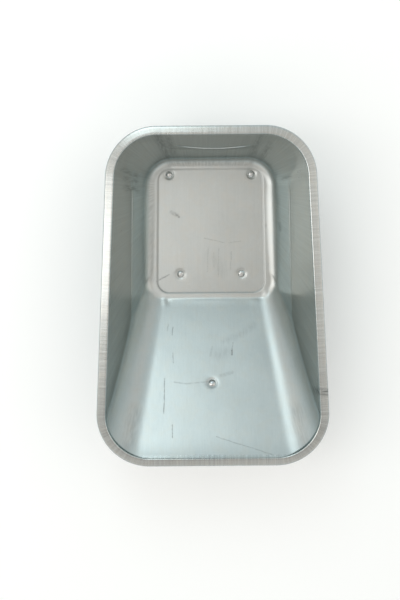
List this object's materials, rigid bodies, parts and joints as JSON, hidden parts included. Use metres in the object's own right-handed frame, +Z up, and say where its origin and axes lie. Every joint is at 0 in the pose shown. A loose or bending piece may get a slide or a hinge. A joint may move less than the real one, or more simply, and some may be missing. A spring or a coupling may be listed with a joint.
{
  "type": "wheelbarrow tray",
  "caption": "Deep-drawn galvanised steel wheelbarrow tray with rolled rim, sloping nose, recessed floor panel and carriage bolts for its frame.",
  "frame": {"origin": "centre of the underside of the recessed floor panel, which sits on the barrow's frame", "axes": "+X across the tray, +Y towards the handles (rear), +Z up out of the mouth; the nose slopes up towards -Y"},
  "size_m": [0.6249, 0.9046, 0.2836],
  "materials": {
    "galvanised_sheet": "satin galvanised sheet with draw marks and scuffs",
    "steel_wire": "bare drawn wire",
    "zinc_bolt": "bright zinc plate",
    "zinc_washer": "bright zinc plate",
    "spring_steel": "dull zinc plate",
    "zinc_nut": "bright zinc plate"
  },
  "bodies": {
    "root": {"tray_shell": "galvanised_sheet", "rim_wire": "steel_wire", "bolt_rear_left": "zinc_bolt", "bolt_rear_right": "zinc_bolt", "bolt_front_left": "zinc_bolt", "bolt_front_right": "zinc_bolt", "bolt_nose": "zinc_bolt", "washer_rear_left": "zinc_washer", "washer_rear_right": "zinc_washer", "washer_front_left": "zinc_washer", "washer_front_right": "zinc_washer", "washer_nose": "zinc_washer", "spring_washer_rear_left": "spring_steel", "spring_washer_rear_right": "spring_steel", "spring_washer_front_left": "spring_steel", "spring_washer_front_right": "spring_steel", "spring_washer_nose": "spring_steel", "nut_rear_left": "zinc_nut", "nut_rear_right": "zinc_nut", "nut_front_left": "zinc_nut", "nut_front_right": "zinc_nut", "nut_nose": "zinc_nut"}
  },
  "joints": []
}
